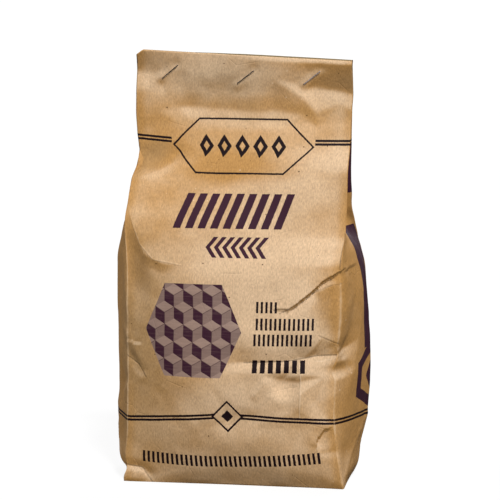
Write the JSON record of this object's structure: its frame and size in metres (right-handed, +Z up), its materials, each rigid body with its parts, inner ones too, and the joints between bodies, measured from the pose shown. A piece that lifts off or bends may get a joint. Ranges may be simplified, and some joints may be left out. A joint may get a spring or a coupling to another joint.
{
  "type": "cement bag",
  "caption": "Small upright paper bag filled with cement, gusseted sides and flat base, mouth pressed flat and closed with wire staples.",
  "frame": {"origin": "middle of the flat base that the bag stands on", "axes": "+Z up along the bag's height, -Y out of the printed front, +X to the right of someone who looks at the front"},
  "size_m": [0.1488, 0.0881, 0.2498],
  "materials": {
    "kraft_paper": "uncoated brown kraft paper with one dark ink",
    "staple_wire": "bright drawn wire"
  },
  "bodies": {
    "root": {"paper_bag": "kraft_paper", "staple_left": "staple_wire", "staple_middle": "staple_wire", "staple_right": "staple_wire"}
  },
  "joints": []
}
